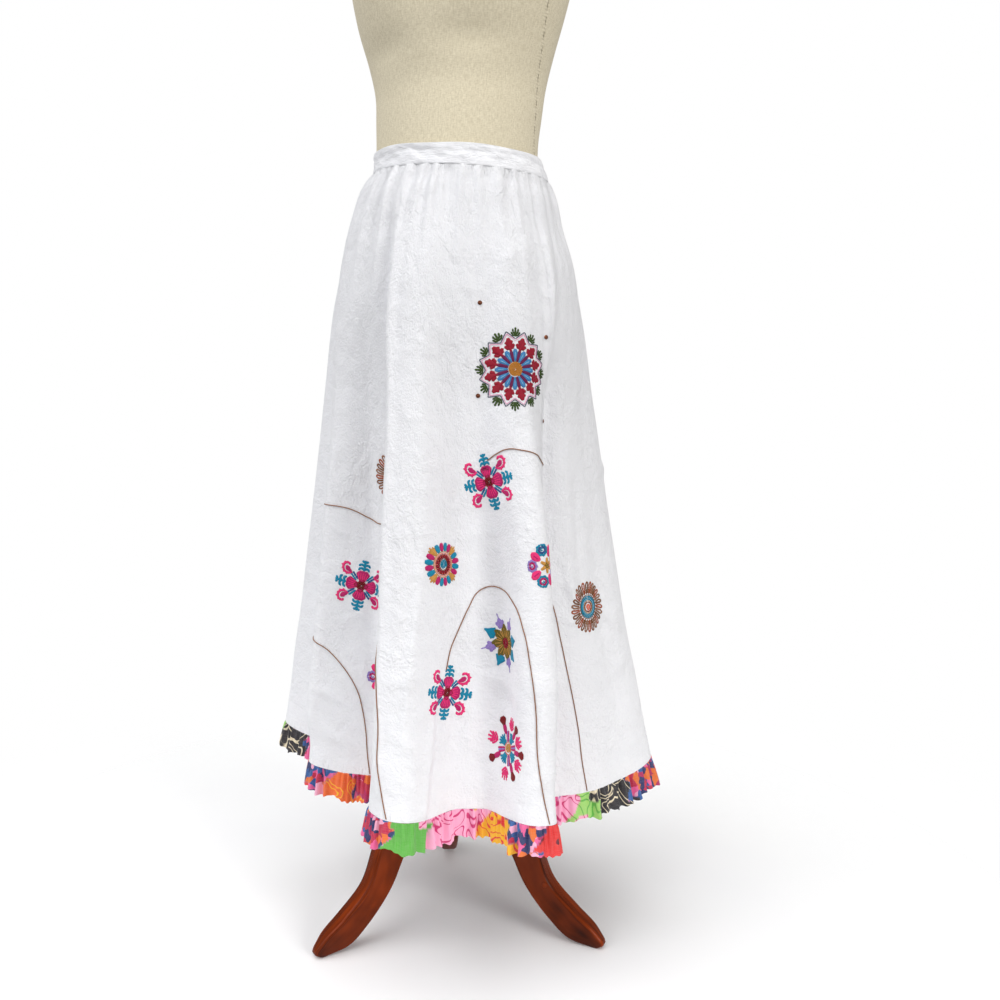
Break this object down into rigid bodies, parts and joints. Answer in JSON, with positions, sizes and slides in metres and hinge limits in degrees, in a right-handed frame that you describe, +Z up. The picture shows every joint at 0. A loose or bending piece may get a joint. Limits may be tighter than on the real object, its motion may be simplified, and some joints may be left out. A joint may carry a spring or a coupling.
{
  "type": "maxi skirt on dress form",
  "caption": "Long gathered cotton skirt with a printed hem frill, displayed on a limbless dress form with a pole and curved wooden legs.",
  "frame": {"origin": "middle of the whole object's box in plan, on the floor it stands on", "axes": "+Z up along the pole, front of the skirt towards -Y, wearer's left towards +X"},
  "size_m": [0.556, 0.5166, 1.545],
  "materials": {
    "white_cotton": "plain-woven white cotton, soft and slightly creased",
    "printed_cotton": "printed plain-woven cotton in bright patches",
    "form_linen": "heathered beige linen stretched smooth",
    "mahogany": "dark red-brown wood, glossy varnish"
  },
  "bodies": {
    "root": {"waistband_front": "white_cotton", "waistband_back": "white_cotton", "skirt_front": "white_cotton", "skirt_back": "white_cotton", "frill_front": "printed_cotton", "frill_back": "printed_cotton", "form_torso": "form_linen", "stand_pole": "mahogany", "stand_hub": "mahogany", "stand_leg_1": "mahogany", "stand_leg_2": "mahogany", "stand_leg_3": "mahogany"}
  },
  "joints": []
}
